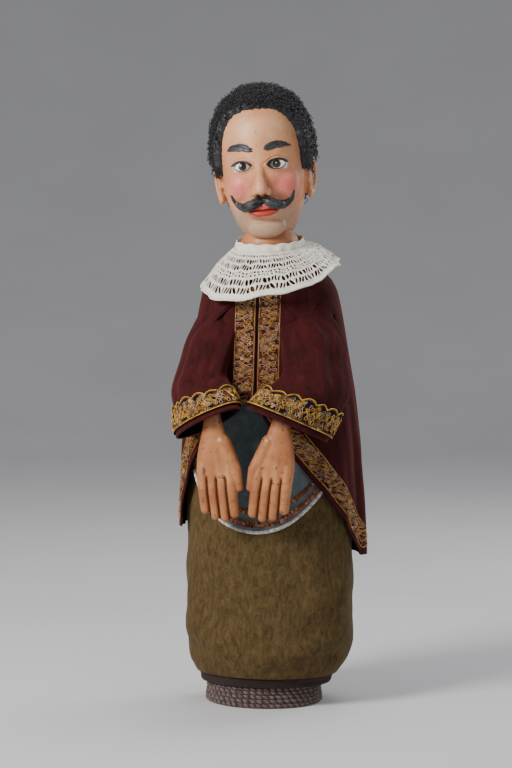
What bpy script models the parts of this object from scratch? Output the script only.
"""A carved wooden rod puppet in a velvet jacket and skirt. Metres, +Z up, the puppet faces -Y.

The origin is on the rod's axis, on the grip's flat foot. Left and right are the puppet's own: left is +X.
"""

import math

import bmesh
import bpy
from mathutils import Matrix, Vector

# ---- driving dimensions -------------------------------------------------------------------------
GAP = 0.0004  # between pieces that touch
ROD_R = 0.006
BORE_CLEARANCE = 0.0003
PEG_CLEARANCE = 0.0003
ROUND = 24  # sides of a turned piece

GRIP_R, GRIP_FOOT_R, GRIP_TOP_Z, GRIP_SOCKET_Z = 0.013, 0.016, 0.118, 0.070
TORSO_BASE_Z, TORSO_TOP_Z = 0.292, 0.418
STOP_R, STOP_H = 0.015, 0.012
WASHER_R, WASHER_T = 0.014, 0.0016
NECK_R, NECK_H = 0.029, 0.031  # the part of the neck below the head
TENON_R, TENON_H = 0.0145, 0.028
PEG_R = 0.0018

HEAD_HALF_WIDTH, HEAD_HALF_DEPTH, HEAD_HEIGHT = 0.042, 0.050, 0.146
HEAD_ROLL = math.radians(-5)  # the head leans to the puppet's right
HEAD_YAW = math.radians(9)  # and looks a little to its left
HAIR_THICKNESS = 0.008

SHOULDER = Vector((0.050, -0.005, 0.385))
ELBOW = Vector((0.066, -0.040, 0.312))
WRIST = Vector((0.034, -0.088, 0.291))
CUFF = Vector((0.038, -0.087, 0.276))  # middle of the sleeve's open end
CUFF_HALF_LENGTH, CUFF_HALF_WIDTH, ELBOW_SLEEVE_R = 0.0430, 0.0200, 0.0185
SLEEVE_BULGE = Vector((0.000, -0.004, 0.008))  # how far the sleeve's middle stands off its axis
CUFF_BRAID_GAP = 0.005  # from the braid to the sleeve's edge
SHOULDER_YAW = math.radians(25)  # turns the shoulder pegs, so that a raised arm also opens outwards
SHOULDER_SWING = math.radians(45)
UPPER_ARM_R, FOREARM_R = 0.0085, 0.0070
ELBOW_KNUCKLE_R, ELBOW_TONGUE = 0.0088, 0.0062
WRIST_KNUCKLE_R, WRIST_TONGUE = 0.0068, 0.0050
EAR = 0.0050  # thickness of one ear of a fork
PIN_R = 0.0020
HAND_LENGTH = 0.107  # from the wrist pin to the fingertips
HAND_LEAN = {"left": 0.14, "right": 0.08}  # how far each hand hangs inwards of straight down, as a slope
PALM_HALF_WIDTH, PALM_HALF_THICKNESS = 0.0195, 0.0080

CLOTH, THIN_CLOTH, BRAID_T, LACE_T = 0.0022, 0.0015, 0.0012, 0.0015
BRAID_WIDTH = 0.020
CUFF_BRAID_WIDTH = 0.024
HEM_BAND_H, HEM_CUFF_TOP_Z = 0.009, 0.0206
COLLAR_INNER_R, COLLAR_OUTER_R = NECK_R + 0.0042, 0.066

# Garment sections, top to bottom: height, half width, depth in front, depth behind.
SKIRT = (
    (0.312, 0.0380, 0.0300, 0.0300),
    (0.298, 0.0380, 0.0300, 0.0300),
    (0.282, 0.0560, 0.0400, 0.0430),
    (0.255, 0.0700, 0.0470, 0.0530),
    (0.215, 0.0770, 0.0515, 0.0590),
    (0.170, 0.0790, 0.0560, 0.0620),
    (0.110, 0.0800, 0.0600, 0.0640),
    (0.062, 0.0800, 0.0620, 0.0650),
    (0.040, 0.0750, 0.0590, 0.0610),
    (0.031, 0.0660, 0.0530, 0.0540),
)
JACKET = (
    (0.426, 0.0370, 0.0350, 0.0350),
    (0.414, 0.0540, 0.0420, 0.0420),
    (0.402, 0.0630, 0.0450, 0.0480),
    (0.380, 0.0680, 0.0480, 0.0530),
    (0.350, 0.0730, 0.0510, 0.0580),
    (0.300, 0.0810, 0.0560, 0.0640),
    (0.250, 0.0860, 0.0600, 0.0680),
    (0.200, 0.0880, 0.0630, 0.0700),
    (0.143, 0.0880, 0.0650, 0.0700),
)
TORSO = (
    (TORSO_BASE_Z, 0.0340, 0.0260, 0.0260),
    (0.316, 0.0340, 0.0260, 0.0260),
    (0.345, 0.0320, 0.0260, 0.0260),
    (0.395, 0.0310, 0.0250, 0.0250),
    (0.410, 0.0270, 0.0220, 0.0220),
    (TORSO_TOP_Z, 0.0220, 0.0190, 0.0190),
)
WAISTCOAT_INSET = 0.0054  # of its outside from the jacket's outside
WAISTCOAT_TOP_Z, WAISTCOAT_LOW_Z, WAISTCOAT_SIDE_Z = 0.392, 0.172, 0.236
WAISTCOAT_HALF_ANGLE = math.radians(60)
JACKET_OPENS_Z = 0.296  # the fronts meet above this and sweep apart below it
FRONT_GAP_ANGLE = math.radians(1.6)  # from the middle to each front edge where they meet
SKIRT_SHIFT_X = -0.006  # of the hem cuff, which sits a little to the puppet's right

ARMHOLE_R, ELBOW_HOLE_R = 0.0255, 0.0290


# ---- tools --------------------------------------------------------------------------------------
def clear_scene():
    for old in list(bpy.data.objects):
        bpy.data.objects.remove(old, do_unlink=True)


def collection(name):
    made = bpy.data.collections.new(name)
    bpy.context.scene.collection.children.link(made)
    return made


clear_scene()
PUPPET = collection("rod_puppet")
CUTTERS = collection("cutters")
FINISHES = {}


def material(name, colour, roughness, metallic=0.0):
    made = bpy.data.materials.new(name)
    made.use_nodes = True
    shader = made.node_tree.nodes["Principled BSDF"]
    shader.inputs["Base Color"].default_value = (*colour, 1)
    shader.inputs["Roughness"].default_value = roughness
    shader.inputs["Metallic"].default_value = metallic
    FINISHES[name] = made


def make_materials():
    material("painted_skin", (0.78, 0.47, 0.30), 0.45)
    material("bare_wood", (0.55, 0.36, 0.20), 0.60)
    material("black_hair", (0.02, 0.02, 0.025), 0.90)
    material("burgundy_velvet", (0.13, 0.02, 0.03), 0.85)
    material("gold_braid", (0.55, 0.38, 0.12), 0.45)
    material("white_lace", (0.85, 0.82, 0.76), 0.80)
    material("teal_cloth", (0.08, 0.15, 0.17), 0.75)
    material("silver_piping", (0.62, 0.64, 0.66), 0.50)
    material("olive_velvet", (0.17, 0.12, 0.04), 0.85)
    material("brown_tape", (0.11, 0.06, 0.06), 0.75)
    material("ribbed_cuff", (0.22, 0.15, 0.14), 0.70)
    material("leather", (0.20, 0.11, 0.06), 0.65)
    material("brass", (0.70, 0.52, 0.22), 0.35, 1.0)


def add(name, mesh, finish, home=PUPPET):
    obj = bpy.data.objects.new(name, mesh)
    home.objects.link(obj)
    if finish:
        obj.data.materials.append(FINISHES[finish])
    return obj


def from_bmesh(name, bm, finish=None, smooth=True, home=PUPPET):
    bmesh.ops.recalc_face_normals(bm, faces=bm.faces)
    if bm.calc_volume(signed=True) < 0:
        bmesh.ops.reverse_faces(bm, faces=bm.faces)
    mesh = bpy.data.meshes.new(name)
    bm.to_mesh(mesh)
    bm.free()
    if smooth:
        mesh.shade_smooth()
        mesh.set_sharp_from_angle(angle=math.radians(40))
    return add(name, mesh, finish, home)


def helper(obj):
    """A cutter or a guide: not a part."""
    obj.hide_render = True
    obj.display_type = "WIRE"
    return obj


def along(axis):
    """The rotation that turns +Z to this direction."""
    return Vector(axis).to_track_quat("Z", "Y").to_matrix().to_4x4()


def cylinder(name, centre, axis, radius, length, finish=None, sides=ROUND, home=PUPPET, end_radius=None):
    bm = bmesh.new()
    bmesh.ops.create_cone(
        bm, cap_ends=True, segments=sides, radius1=radius,
        radius2=radius if end_radius is None else end_radius, depth=length,
    )
    bm.transform(Matrix.Translation(centre) @ along(axis))
    return from_bmesh(name, bm, finish, home=home)


def cutter(name, centre, axis, radius, length, sides=16):
    return helper(cylinder(name, centre, axis, radius, length, sides=sides, home=CUTTERS))


def between(name, start, end, start_radius, end_radius, finish=None, home=PUPPET, sides=12):
    """A round bar that tapers from one point to another."""
    run = Vector(end) - Vector(start)
    return cylinder(
        name, (Vector(start) + Vector(end)) / 2, run, start_radius, run.length,
        finish, sides, home, end_radius,
    )


def hull(name, points, finish=None, home=CUTTERS):
    """The convex solid around these points."""
    bm = bmesh.new()
    for p in points:
        bm.verts.new(p)
    made = bmesh.ops.convex_hull(bm, input=bm.verts)
    loose = [v for v in made["geom_interior"] + made["geom_unused"] if isinstance(v, bmesh.types.BMVert)]
    bmesh.ops.delete(bm, geom=list(set(loose)), context="VERTS")
    return from_bmesh(name, bm, finish, home=home)


def disc_points(centre, axis, radius, width, sides=16):
    turn = along(axis)
    return [
        Vector(centre) + (turn @ Vector((radius * math.cos(a), radius * math.sin(a), side * width / 2)))
        for a in (2 * math.pi * i / sides for i in range(sides))
        for side in (-1, 1)
    ]


def ball_points(centre, radius, rings=6, sides=12):
    return [
        Vector(centre) + radius * Vector((
            math.sin(p) * math.cos(a), math.sin(p) * math.sin(a), math.cos(p)))
        for p in (math.pi * j / rings for j in range(rings + 1))
        for a in (2 * math.pi * i / sides for i in range(sides))
    ]


def boolean(obj, other, operation):
    change = obj.modifiers.new(operation.lower(), "BOOLEAN")
    change.object = other
    change.operation = operation
    change.solver = "EXACT"
    return obj


def cut(obj, *others):
    for other in others:
        boolean(obj, helper(other), "DIFFERENCE")
    return obj


def join(obj, *others):
    for other in others:
        boolean(obj, helper(other), "UNION")
    return obj


def solidify(obj, thickness, offset=-1.0):
    wall = obj.modifiers.new("wall", "SOLIDIFY")
    wall.thickness = thickness
    wall.offset = offset
    wall.use_even_offset = True
    return obj


def turned(name, profile, finish, steps=ROUND):
    """A closed profile of (radius, height) pairs turned about the Z axis, given down its outer side."""
    mesh = bpy.data.meshes.new(name)
    points = [(r, 0.0, z) for r, z in profile]
    edges = [(i, i + 1) for i in range(len(points) - 1)]
    mesh.from_pydata(points, edges, [])
    obj = add(name, mesh, finish)
    screw = obj.modifiers.new("turn", "SCREW")
    screw.axis = "Z"
    screw.steps = steps
    screw.render_steps = steps
    screw.use_merge_vertices = True
    screw.merge_threshold = 0.00005
    screw.use_smooth_shade = True
    return obj


def ring_profile(inner, outer, low, high):
    return [(inner, low), (inner, high), (outer, high), (outer, low), (inner, low)]


# ---- garment surfaces ---------------------------------------------------------------------------
def section(rows, z):
    """Half width and depths of a garment at a height, eased between its rows."""
    if z >= rows[0][0]:
        return rows[0][1:]
    for upper, lower in zip(rows, rows[1:]):
        if z >= lower[0]:
            t = (upper[0] - z) / (upper[0] - lower[0])
            return tuple(a + (b - a) * t for a, b in zip(upper[1:], lower[1:]))
    return rows[-1][1:]


def on_section(rows, z, angle, inset=0.0, shift_x=0.0):
    """The point at this height and angle; 0 faces front and positive angles run to the puppet's left."""
    half, front, back = (size - inset for size in section(rows, z))
    depth = front if math.cos(angle) > 0 else back
    return Vector((half * math.sin(angle) + shift_x, -depth * math.cos(angle), z))


def grid(name, points, finish, closed=False):
    """A sheet through rows of points."""
    bm = bmesh.new()
    rows = [[bm.verts.new(p) for p in row] for row in points]
    for upper, lower in zip(rows, rows[1:]):
        count = len(upper)
        for i in range(count if closed else count - 1):
            j = (i + 1) % count
            bm.faces.new((upper[i], lower[i], lower[j], upper[j]))
    mesh = bpy.data.meshes.new(name)
    bm.to_mesh(mesh)
    bm.free()
    mesh.shade_smooth()
    return add(name, mesh, finish)


def loft(name, rings, finish):
    """A closed solid through rings of points, capped at both ends."""
    bm = bmesh.new()
    rows = [[bm.verts.new(p) for p in ring] for ring in rings]
    for upper, lower in zip(rows, rows[1:]):
        for i in range(len(upper)):
            j = (i + 1) % len(upper)
            bm.faces.new((upper[i], lower[i], lower[j], upper[j]))
    bm.faces.new(rows[0])
    bm.faces.new(rows[-1][::-1])
    return from_bmesh(name, bm, finish)


def around(count, start=0.0, sweep=2 * math.pi):
    return [start + sweep * i / count for i in range(count)]


def spread(low, high, count):
    return [low + (high - low) * i / (count - 1) for i in range(count)]


def tube_of_sections(name, rows, sides, finish, thickness, shift=lambda z: 0.0):
    points = [[on_section(rows, row[0], a, shift_x=shift(row[0])) for a in around(sides)] for row in rows]
    return solidify(grid(name, points, finish, closed=True), thickness)


# ---- rod, torso and neck ------------------------------------------------------------------------
NECK_BASE_Z = TORSO_TOP_Z + WASHER_T + 2 * GAP
HEAD_SEAT_Z = NECK_BASE_Z + NECK_H
CHIN_Z = HEAD_SEAT_Z - 0.006
STOP_TOP_Z = TORSO_BASE_Z - WASHER_T - 2 * GAP


def rod_and_grip():
    bore = ROD_R + BORE_CLEARANCE
    rod_top = HEAD_SEAT_Z + TENON_H - 0.010
    rod_low = GRIP_SOCKET_Z + GAP
    rod = cylinder("central_rod", (0, 0, (rod_low + rod_top) / 2), (0, 0, 1), ROD_R,
                   rod_top - rod_low, "bare_wood")
    grip = turned("rod_grip", [
        (0, GRIP_SOCKET_Z), (bore, GRIP_SOCKET_Z), (bore, GRIP_TOP_Z), (0.0085, GRIP_TOP_Z),
        (GRIP_R - 0.001, GRIP_TOP_Z - 0.010), (GRIP_R, GRIP_TOP_Z - 0.035), (GRIP_R, 0.050),
        (GRIP_R - 0.003, 0.022), (GRIP_R - 0.002, 0.012), (GRIP_FOOT_R, 0.006), (GRIP_FOOT_R, 0), (0, 0),
    ], "bare_wood")
    stop = turned("stop_collar", ring_profile(bore, STOP_R, STOP_TOP_Z - STOP_H, STOP_TOP_Z), "bare_wood")
    turned("thrust_washer", ring_profile(
        bore, WASHER_R, STOP_TOP_Z + GAP, STOP_TOP_Z + GAP + WASHER_T), "leather")
    turned("neck_washer", ring_profile(
        bore, WASHER_R, TORSO_TOP_Z + GAP, TORSO_TOP_Z + GAP + WASHER_T), "leather")
    neck = turned("neck", [
        (bore, NECK_BASE_Z), (bore, HEAD_SEAT_Z + TENON_H), (TENON_R, HEAD_SEAT_Z + TENON_H),
        (TENON_R, HEAD_SEAT_Z), (NECK_R, HEAD_SEAT_Z), (NECK_R, NECK_BASE_Z + 0.004),
        (NECK_R - 0.003, NECK_BASE_Z), (bore, NECK_BASE_Z),
    ], "painted_skin", steps=32)
    pegs = (
        ("grip_peg", GRIP_TOP_Z - 0.022, GRIP_R - GAP, grip),
        ("stop_peg", STOP_TOP_Z - STOP_H / 2, STOP_R - GAP, stop),
        ("neck_peg", NECK_BASE_Z + 0.013, NECK_R - GAP, neck),
    )
    for name, z, reach, holder in pegs:
        cylinder(name, (0, 0, z), (1, 0, 0), PEG_R, 2 * reach, "bare_wood", sides=12)
        hole = cutter(name + "_hole", (0, 0, z), (1, 0, 0), PEG_R + PEG_CLEARANCE, 3 * NECK_R, sides=12)
        cut(holder, hole)
        cut(rod, hole)


def torso_block():
    rings = [[on_section(TORSO, row[0], a) for a in around(ROUND)] for row in TORSO]
    torso = loft("torso_block", rings, "bare_wood")
    middle = (TORSO_BASE_Z + TORSO_TOP_Z) / 2
    cut(torso, cutter("torso_bore", (0, 0, middle), (0, 0, 1), ROD_R + BORE_CLEARANCE,
                      2 * (TORSO_TOP_Z - TORSO_BASE_Z), sides=ROUND))
    for side in SIDES:
        cut(torso, side_cutter("peg_seat", side, SHOULDER, shoulder_axis(1), SHOULDER_PEG_R + PEG_CLEARANCE,
                               2 * SHOULDER_PEG_IN + 4 * GAP))


# ---- arms ---------------------------------------------------------------------------------------
SIDES = (("left", 1), ("right", -1))
CUFF_LONG = Vector((0.773, 0.489, -0.398)).normalized()  # the long way across the sleeve's open end
CUFF_SHORT = Vector((-0.533, 0.844, 0)).normalized()
SHOULDER_PEG_R, SHOULDER_PEG_IN, SHOULDER_PEG_OUT = 0.0030, 0.030, 0.0072
SHOULDER_EYE_R, SHOULDER_EYE_W = 0.0100, 0.0090


def mirrored(point, sign):
    return Vector((point[0] * sign, point[1], point[2]))


def shoulder_axis(sign):
    """The shoulder peg's direction, outwards and a little back."""
    return Vector((sign * math.cos(SHOULDER_YAW), math.sin(SHOULDER_YAW), 0))


def side_cutter(name, side, centre, axis, radius, length):
    label, sign = side
    return cutter(f"{name}_{label}", mirrored(centre, sign), mirrored(axis, sign), radius, length)


def in_joint_plane(direction):
    """A direction with its sideways part dropped, for pieces on an X hinge."""
    return Vector((0, direction[1], direction[2])).normalized()


def shoulder_peg(side):
    label, sign = side
    axis, centre = shoulder_axis(sign), mirrored(SHOULDER, sign)
    shank_length = SHOULDER_PEG_IN + SHOULDER_PEG_OUT
    peg = cylinder(f"shoulder_peg_{label}", centre + axis * (SHOULDER_PEG_OUT - SHOULDER_PEG_IN) / 2, axis,
                   SHOULDER_PEG_R, shank_length, "bare_wood", sides=12)
    head = cylinder(f"peg_head_{label}", centre + axis * SHOULDER_PEG_OUT, axis, SHOULDER_PEG_R * 1.8, 0.003,
                    sides=12, home=CUTTERS)
    join(peg, head)


def upper_arm(side):
    label, sign = side
    shoulder, elbow = mirrored(SHOULDER, sign), mirrored(ELBOW, sign)
    arm = between(f"upper_arm_{label}", shoulder, elbow, UPPER_ARM_R, UPPER_ARM_R - 0.0008, "bare_wood")
    eye = cylinder(f"shoulder_eye_{label}", shoulder, shoulder_axis(sign), SHOULDER_EYE_R, SHOULDER_EYE_W,
                   sides=16, home=CUTTERS)
    width = ELBOW_TONGUE + 2 * (EAR + GAP)
    back = elbow + 0.012 * in_joint_plane(shoulder - elbow)
    ears = hull(f"elbow_ears_{label}", disc_points(elbow, (1, 0, 0), ELBOW_KNUCKLE_R, width)
                + disc_points(back, (1, 0, 0), ELBOW_KNUCKLE_R, width))
    join(arm, eye, ears)
    cut(
        arm,
        side_cutter("shoulder_bore", side, SHOULDER, shoulder_axis(1), SHOULDER_PEG_R + BORE_CLEARANCE, 0.060),
        side_cutter("peg_head_room", side, SHOULDER + shoulder_axis(1) * 0.0102, shoulder_axis(1), 0.0064, 0.010),
        side_cutter("elbow_slot", side, ELBOW, (1, 0, 0), ELBOW_KNUCKLE_R + 0.0030, ELBOW_TONGUE + 2 * GAP),
        side_cutter("elbow_hole", side, ELBOW, (1, 0, 0), PIN_R + PEG_CLEARANCE, 0.050),
    )
    cylinder(f"elbow_pin_{label}", elbow, (1, 0, 0), PIN_R, width - 2 * GAP, "brass", sides=12)


def forearm(side):
    label, sign = side
    elbow, wrist = mirrored(ELBOW, sign), mirrored(WRIST, sign)
    run = wrist - elbow
    arm = between(f"forearm_{label}", elbow + run * 0.25, wrist - run * 0.08, FOREARM_R, FOREARM_R - 0.001,
                  "bare_wood")
    to_wrist = in_joint_plane(run)
    knuckle = hull(f"elbow_knuckle_{label}", disc_points(
        elbow, (1, 0, 0), ELBOW_KNUCKLE_R - 0.0004, ELBOW_TONGUE + 0.002) + disc_points(
        elbow + run * 0.30, (1, 0, 0), FOREARM_R - 0.0015, ELBOW_TONGUE + 0.002))
    width = WRIST_TONGUE + 2 * (EAR - 0.001 + GAP)
    yoke = hull(f"wrist_yoke_{label}", disc_points(wrist, (1, 0, 0), WRIST_KNUCKLE_R, width)
                + disc_points(wrist - 0.010 * to_wrist, (1, 0, 0), WRIST_KNUCKLE_R, width))
    join(arm, knuckle, yoke)
    for place in (-1, 1):
        room = 0.012
        offset = Vector((place * (ELBOW_TONGUE + room) / 2, 0, 0))
        cut(arm, cutter(f"ear_room_{label}_{place + 1}", elbow + offset, (1, 0, 0), ELBOW_KNUCKLE_R + 0.0036, room))
    cut(
        arm,
        side_cutter("tongue_hole", side, ELBOW, (1, 0, 0), PIN_R + PEG_CLEARANCE, 0.030),
        side_cutter("wrist_slot", side, WRIST, (1, 0, 0), WRIST_KNUCKLE_R + 0.0020, WRIST_TONGUE + 2 * GAP),
        side_cutter("wrist_hole", side, WRIST, (1, 0, 0), PIN_R + PEG_CLEARANCE, 0.050),
    )
    cylinder(f"wrist_pin_{label}", wrist, (1, 0, 0), PIN_R, width - 2 * GAP, "brass", sides=12)


def hand(side):
    """A flat carved hand that hangs from the wrist pin, back to the front, with its thumb inwards."""
    label, sign = side
    wrist = mirrored(WRIST, sign)
    lean = Vector((-sign * HAND_LEAN[label], 0, -1)).normalized()
    across = Vector((sign, 0, 0))
    knuckles = wrist + lean * (HAND_LENGTH * 0.63)
    rings = []
    for share, half, thick in ((0.13, 0.0075, 0.0070), (0.24, 0.0095, 0.0078), (0.36, 0.0150, 0.0085),
                               (0.50, PALM_HALF_WIDTH, PALM_HALF_THICKNESS), (0.66, PALM_HALF_WIDTH, 0.0065)):
        centre = wrist + lean * (HAND_LENGTH * share)
        rings.append([centre + across * half * math.sin(a) + Vector((0, -thick * math.cos(a), 0))
                      for a in around(14)])
    palm = loft(f"hand_{label}", rings, "painted_skin")
    tongue = hull(f"hand_tongue_{label}", disc_points(wrist, (1, 0, 0), WRIST_KNUCKLE_R - 0.0004, WRIST_TONGUE)
                  + disc_points(wrist + in_joint_plane(lean) * HAND_LENGTH * 0.17, (1, 0, 0), 0.0055, WRIST_TONGUE))
    pieces = [tongue]
    pitch = PALM_HALF_WIDTH * 2 / 4
    for i, reach in enumerate((0.335, 0.370, 0.355, 0.300)):  # from the thumb's side outwards
        start = knuckles + across * pitch * (i - 1.5) - lean * 0.006
        end = knuckles + across * pitch * 0.92 * (i - 1.5) + lean * (HAND_LENGTH * reach - 0.004)
        pieces.append(hull(f"finger_{label}_{i}", ball_points(start, 0.0052, 5, 9) + ball_points(end, 0.0040, 5, 9)))
    thumb_root = wrist + lean * (HAND_LENGTH * 0.40) - across * 0.012
    thumb_tip = wrist + lean * (HAND_LENGTH * 0.70) - across * 0.0172
    pieces.append(hull(f"thumb_{label}", ball_points(thumb_root, 0.0060, 5, 9) + ball_points(thumb_tip, 0.0042, 5, 9)))
    join(palm, *pieces)
    cut(palm, side_cutter("hand_hole", side, WRIST, (1, 0, 0), PIN_R + PEG_CLEARANCE, 0.050))


# ---- sleeves ------------------------------------------------------------------------------------
def sleeve_ring(share, grow=0.0):
    """The left lower sleeve's section, from the elbow at 0 to the open cuff at 1."""
    way = (CUFF - ELBOW).normalized()
    level = way.cross(Vector((0, 0, -1))).normalized()
    turn = min(1.0, 0.25 + share)
    long = level.lerp(CUFF_LONG, turn).normalized()
    short = way.cross(level).normalized()
    short = (short if short.dot(CUFF_SHORT) > 0 else -short).lerp(CUFF_SHORT, turn).normalized()
    half = ELBOW_SLEEVE_R + (CUFF_HALF_LENGTH - ELBOW_SLEEVE_R) * math.sin(share * math.pi / 2) + grow
    thick = ELBOW_SLEEVE_R + (CUFF_HALF_WIDTH - ELBOW_SLEEVE_R) * share + grow
    centre = ELBOW.lerp(CUFF, share) + SLEEVE_BULGE * math.sin(math.pi * share)
    return [centre + long * half * math.sin(a) - short * thick * math.cos(a) for a in around(20)]


def sleeve_tube(name, rings, sign, finish, thickness):
    rows = [[mirrored(p, sign) for p in ring] for ring in rings]
    tube = grid(name, rows, finish, closed=True)
    flip_outward(tube)
    return solidify(tube, thickness)


def sleeves(side):
    label, sign = side
    down = (ELBOW - SHOULDER).normalized()
    out = (Vector((1, 0, 0)) - down * down.x).normalized()
    fore = down.cross(out)
    rings = []
    for distance, radius, shift in ((-0.004, 0.0156, 0.003), (0.012, 0.0168, 0.003), (0.032, 0.0175, 0.001),
                                    (0.050, 0.0165, 0.0)):
        centre = SHOULDER + down * distance + out * shift
        rings.append([centre + out * radius * math.sin(a) - fore * radius * math.cos(a) for a in around(20)])
    upper = sleeve_tube(f"sleeve_upper_{label}", rings, sign, "burgundy_velvet", CLOTH)
    cut(upper, side_cutter("peg_passage", side, SHOULDER - shoulder_axis(1) * 0.015, shoulder_axis(1),
                           SHOULDER_PEG_R + 0.0015, 0.030))
    low = 1 - CUFF_BRAID_GAP / (CUFF - ELBOW).length
    high = low - CUFF_BRAID_WIDTH / (CUFF - ELBOW).length
    middle = (low + high) / 2
    way = (CUFF - ELBOW).normalized()
    mouth = [p + way * (0.005 + 0.008 * math.cos(a)) for p, a in zip(sleeve_ring(0.0), around(20))]
    rings = [mouth] + [sleeve_ring(share) for share in ((0.13 + high) / 2, high, middle, low, 1.0)]
    sleeve_tube(f"sleeve_lower_{label}", rings, sign, "burgundy_velvet", CLOTH)
    rings = [sleeve_ring(share, grow=GAP + 0.0013 + BRAID_T) for share in (high + 0.01, middle, low)]
    sleeve_tube(f"cuff_braid_{label}", rings, sign, "gold_braid", BRAID_T)


def flip_outward(obj):
    """Turns a sheet tube's faces to point away from its middle, before Solidify gives it a wall."""
    mesh = obj.data
    middle = sum((v.co for v in mesh.vertices), Vector()) / len(mesh.vertices)
    facing = sum((f.center - middle).dot(f.normal) * f.area for f in mesh.polygons)
    if facing < 0:
        mesh.flip_normals()


# ---- costume ------------------------------------------------------------------------------------
def front_angle(z, sign):
    """The angle from the middle to one front edge at a height: the puppet's right front is cut away sooner."""
    drop = min(1.0, max(0.0, (JACKET_OPENS_Z - z) / (JACKET_OPENS_Z - JACKET[-1][0])))
    if sign > 0:
        return FRONT_GAP_ANGLE + math.radians(92) * drop ** 1.3
    return FRONT_GAP_ANGLE + math.radians(66) * math.sin(drop * math.pi / 2) ** 0.62


def armhole(side):
    """What the arm sweeps through as it swings: kept clear of the jacket and the waistcoat."""
    label, sign = side
    arm = ELBOW - SHOULDER
    raised = Matrix.Rotation(SHOULDER_SWING, 3, -shoulder_axis(1)) @ arm
    points = ball_points(SHOULDER, ARMHOLE_R) + ball_points(SHOULDER + arm, ELBOW_HOLE_R)
    points += ball_points(SHOULDER + raised, ELBOW_HOLE_R) + sleeve_ring(0.3, 0.004) + sleeve_ring(0.5, 0.003)
    return helper(hull(f"armhole_{label}", [mirrored(p, sign) for p in points]))


def jacket(armholes):
    count = 26
    heights = []
    for upper, lower in zip(JACKET, JACKET[1:]):
        steps = 2 if lower[0] < 0.30 else 1
        heights += [upper[0] + (lower[0] - upper[0]) * i / steps for i in range(steps)]
    heights.append(JACKET[-1][0])
    rows = []
    for z in heights:
        angles = spread(front_angle(z, 1), 2 * math.pi - front_angle(z, -1), count)
        rows.append([on_section(JACKET, z, a) for a in angles])
    coat = solidify(grid("jacket", rows, "burgundy_velvet"), CLOTH)
    cut(coat, *armholes)


def jacket_braids():
    """A strip along each front edge, from the collar to the hem corner."""
    heights = spread(0.400, JACKET_OPENS_Z, 5) + spread(JACKET_OPENS_Z - 0.005, JACKET[-1][0] + 0.010, 16)
    for label, sign in SIDES:
        rows = []
        for z in heights:
            half = section(JACKET, z)[0]
            start = front_angle(z, sign) + 0.0015 / half
            slope = abs(front_angle(z - 0.004, sign) - front_angle(z, sign)) * half / 0.004
            slope = min(slope, 1.5) if z < JACKET_OPENS_Z - 0.001 else 0.0
            sweep = BRAID_WIDTH * math.sqrt(1 + slope * slope) / half
            rows.append([on_section(JACKET, z, sign * (start + sweep * t), inset=-GAP - 0.0010 - BRAID_T)
                         for t in spread(0, 1, 4)])
        braid = grid(f"front_braid_{label}", rows, "gold_braid")
        facing = sum(f.normal.y * f.area for f in braid.data.polygons)
        if facing > 0:
            braid.data.flip_normals()
        solidify(braid, BRAID_T)


def waistcoat_hem(angle):
    """Height of the curved lower edge of the waistcoat front."""
    return WAISTCOAT_LOW_Z + (WAISTCOAT_SIDE_Z - WAISTCOAT_LOW_Z) * (angle / WAISTCOAT_HALF_ANGLE) ** 2


def waistcoat(armholes):
    angles = spread(-WAISTCOAT_HALF_ANGLE, WAISTCOAT_HALF_ANGLE, 19)
    rows = [[on_section(JACKET, waistcoat_hem(a) + (WAISTCOAT_TOP_Z - waistcoat_hem(a)) * share, a,
                        inset=WAISTCOAT_INSET) for a in angles] for share in (1.0, 0.75, 0.5, 0.3, 0.15, 0.0)]
    front = solidify(grid("waistcoat_front", rows, "teal_cloth"), THIN_CLOTH)
    cut(front, *armholes)


def waistcoat_trims():
    """Piping under the curved hem, and two braids that would lie on the cloth just above it."""
    limit = WAISTCOAT_HALF_ANGLE * 0.70
    angles = spread(-limit, limit, 17)
    strips = (("waistcoat_braid_outer", 0.0035, 0.0095), ("waistcoat_braid_inner", 0.0155, 0.0205))
    for name, low, high in strips:
        rows = [[on_section(JACKET, waistcoat_hem(a) + rise, a, inset=WAISTCOAT_INSET - GAP - 0.0008)
                 for a in angles] for rise in (high, low)]
        solidify(grid(name, rows, "gold_braid"), 0.0008)
    curve = bpy.data.curves.new("waistcoat_piping", "CURVE")
    curve.dimensions = "3D"
    curve.bevel_depth = 0.0014
    curve.bevel_resolution = 1
    curve.use_fill_caps = True
    line = curve.splines.new("POLY")
    line.points.add(len(angles) - 1)
    for point, a in zip(line.points, angles):
        slope = (waistcoat_hem(a + 0.01) - waistcoat_hem(a - 0.01)) / 0.02 / section(JACKET, waistcoat_hem(a))[0]
        drop = (0.0014 + GAP + 0.0003) * math.sqrt(1 + slope * slope)
        point.co = (*on_section(JACKET, waistcoat_hem(a) - drop, a, inset=WAISTCOAT_INSET + 0.0008), 1)
    add("waistcoat_piping", curve, "silver_piping")


def ellipse_cord(name, half, front, back, z, radius, finish, shift_x=0.0, count=28):
    curve = bpy.data.curves.new(name, "CURVE")
    curve.dimensions = "3D"
    curve.bevel_depth = radius
    curve.bevel_resolution = 0
    line = curve.splines.new("POLY")
    line.points.add(count - 1)
    line.use_cyclic_u = True
    for point, a in zip(line.points, around(count)):
        depth = front if math.cos(a) > 0 else back
        point.co = (half * math.sin(a) + shift_x, -depth * math.cos(a), z, 1)
    return add(name, curve, finish)


def skirt_shift(z):
    """The skirt's foot leans a little to the puppet's right."""
    return SKIRT_SHIFT_X * max(0.0, min(1.0, (0.062 - z) / 0.062))


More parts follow.
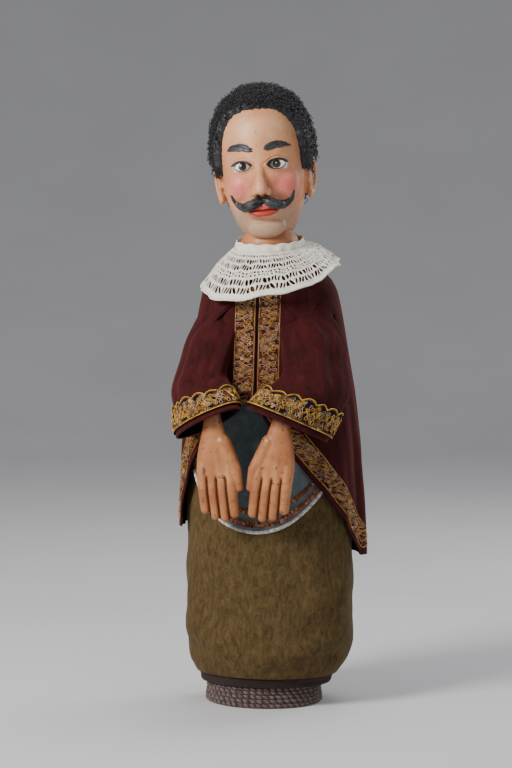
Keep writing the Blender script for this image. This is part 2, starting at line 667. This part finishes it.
def skirt():
    tube_of_sections("skirt", SKIRT, 32, "olive_velvet", CLOTH, skirt_shift)
    waist = SKIRT[0]
    grow = 0.0015 + GAP + 0.0001
    ellipse_cord("waist_tie", waist[1] + grow, waist[2] + grow, waist[3] + grow, 0.5 * (SKIRT[0][0] + SKIRT[1][0]),
                 0.0015, "brown_tape")
    top = SKIRT[-1][0] - 0.0006
    band_rows = ((top, 0.0652, 0.0524, 0.0534), (top - HEM_BAND_H, 0.0618, 0.0505, 0.0515))
    tube_of_sections("hem_band", band_rows, 32, "brown_tape", 0.0020, skirt_shift)
    cuff_rows = ((HEM_CUFF_TOP_Z, 0.0560, 0.0485, 0.0490), (0.0120, 0.0575, 0.0505, 0.0510),
                 (0.0030, 0.0570, 0.0500, 0.0505), (0.0, 0.0570, 0.0500, 0.0505))
    tube_of_sections("hem_cuff", cuff_rows, 32, "ribbed_cuff", 0.0034, lambda z: SKIRT_SHIFT_X)
    ellipse_cord("hem_hoop", 0.0580, 0.0466, 0.0476, top - 0.0048, 0.0022, "bare_wood",
                 skirt_shift(top - 0.0048))


def collar_height(angle, share):
    """The collar's top surface: it lies lower in front, and lower on the puppet's right."""
    inner = 0.441 - 0.006 * math.cos(angle)
    outer = 0.414 - 0.022 * math.cos(angle) + 0.008 * math.sin(angle)
    return inner + (outer - inner) * share + 0.0035 * math.sin(math.pi * share)


def collar():
    sides = 36
    rows = []
    for share in (0.0, 0.3, 0.65, 1.0):
        r = COLLAR_INNER_R + (COLLAR_OUTER_R - COLLAR_INNER_R) * share
        rows.append([Vector((r * math.sin(a), -r * math.cos(a), collar_height(a, share))) for a in around(sides)])
    solidify(grid("lace_collar", rows, "white_lace", closed=True), LACE_T)
    r = NECK_R + 0.0022
    rows = [[Vector((r * math.sin(a), -r * math.cos(a), z if z else collar_height(a, 0) + 0.001))
             for a in around(sides)] for z in (0.0, 0.4275)]
    solidify(grid("collar_band", rows, "white_lace", closed=True), 0.0012)


# ---- head ---------------------------------------------------------------------------------------
HEAD_CENTRE = Vector((0, 0.002, CHIN_Z + HEAD_HEIGHT / 2))


def bump(value, middle, width):
    return math.exp(-((value - middle) / width) ** 2)


def head_point(x, y, z, grow=0.0):
    """The carved head's surface in the direction (x, y, z) of a unit ball, before it is leaned."""
    half_height = HEAD_HEIGHT / 2
    low = max(0.0, -z)
    power = 3.0 if z < 0 else 2.5  # squares the jaw, and the crown a little less
    away = min(abs(z), 0.999)
    fuller = (1 - away ** power) ** (1 / power) / math.sqrt(1 - away * away)
    p = Vector((
        x * (HEAD_HALF_WIDTH + grow) * fuller * (1 - 0.22 * low),
        y * (HEAD_HALF_DEPTH + grow) * fuller * (1 - 0.18 * low),
        z * (half_height + grow),
    ))
    face = max(0.0, -y) ** 1.5
    width, height = p.x, p.z / half_height
    nose = bump(width, 0, 0.0075) * bump(height, -0.34, 0.20) * (0.0140 if height < -0.34 else 0.0140)
    bridge = bump(width, 0, 0.0070) * bump(height, -0.05, 0.20) * 0.0050
    brow = 0.0022 * bump(height, 0.17, 0.09) * bump(abs(width), 0.016, 0.018)
    socket = -0.0040 * bump(height, 0.02, 0.09) * bump(abs(width), 0.0170, 0.010)
    lips = 0.0026 * bump(height, -0.62, 0.07) * bump(width, 0, 0.013)
    chin = 0.0040 * bump(height, -0.90, 0.13) * bump(width, 0, 0.015)
    p.y -= face * (nose + bridge + brow + socket + lips + chin)
    nape = max(0.0, y) * max(0.0, -z)
    p.y -= 0.030 * nape
    return p + HEAD_CENTRE


def head_ball(name, finish, grow, segments, rings, home=PUPPET):
    bm = bmesh.new()
    bmesh.ops.create_uvsphere(bm, u_segments=segments, v_segments=rings, radius=1)
    for v in bm.verts:
        v.co = head_point(*v.co, grow)
    lean_about_neck(bm)
    return from_bmesh(name, bm, finish, home=home)


def lean_about_neck(bm):
    foot = Vector((0, 0, CHIN_Z))
    turn = Matrix.Rotation(HEAD_ROLL, 4, "Y") @ Matrix.Rotation(HEAD_YAW, 4, "Z")
    bm.transform(Matrix.Translation(foot) @ turn @ Matrix.Translation(-foot))


def ear(name, side, grow):
    label, sign = side
    bm = bmesh.new()
    bmesh.ops.create_uvsphere(bm, u_segments=12, v_segments=8, radius=1)
    bm.transform(Matrix.Translation((sign * 0.0405, 0.004, HEAD_CENTRE.z - 0.014)) @ Matrix.Rotation(
        sign * 0.25, 4, "Z") @ Matrix.Diagonal((0.0070 + grow, 0.0120 + grow, 0.0210 + grow, 1)))
    lean_about_neck(bm)
    return from_bmesh(f"{name}_{label}", bm, home=CUTTERS)


def head():
    carved = head_ball("head", "painted_skin", 0.0, 26, 20)
    for side in SIDES:
        join(carved, ear("ear", side, 0.0))
    low = CHIN_Z - 0.040
    cut(
        carved,
        cutter("neck_seat", (0, 0, (low + HEAD_SEAT_Z + GAP) / 2), (0, 0, 1), NECK_R + 0.0025,
               HEAD_SEAT_Z + GAP - low, sides=32),
        cutter("neck_socket", (0, 0, HEAD_SEAT_Z + TENON_H / 2), (0, 0, 1), TENON_R + GAP,
               TENON_H + 0.004, sides=ROUND),
    )


def hair():
    """A wig that covers the skull and leaves the face, the ears and the neck bare."""
    wig = head_ball("hair", "black_hair", HAIR_THICKNESS, 20, 14)
    skull = head_ball("hair_inside", None, GAP + 0.0011, 22, 16, home=CUTTERS)
    bm = bmesh.new()
    bmesh.ops.create_uvsphere(bm, u_segments=20, v_segments=14, radius=1)
    bm.transform(Matrix.Translation(HEAD_CENTRE + Vector((0, -0.052, -0.016))) @ Matrix.Diagonal(
        (0.0355, 0.044, 0.066, 1)))
    lean_about_neck(bm)
    face_window = from_bmesh("face_window", bm, home=CUTTERS)
    nape_z = HEAD_CENTRE.z - 0.030
    below = cylinder("below_hair", (0, 0, nape_z - 0.05), (0, 0.15, 1), 0.12, 0.10, home=CUTTERS)
    cut(wig, skull, face_window, below, *(ear("ear_room", side, 0.0012) for side in SIDES))


# ---- assembly -----------------------------------------------------------------------------------
def main():
    make_materials()
    rod_and_grip()
    torso_block()
    head()
    hair()
    for side in SIDES:
        shoulder_peg(side)
        upper_arm(side)
        forearm(side)
        hand(side)
        sleeves(side)
    armholes = [armhole(side) for side in SIDES]
    jacket(armholes)
    jacket_braids()
    waistcoat(armholes)
    waistcoat_trims()
    skirt()
    collar()


main()
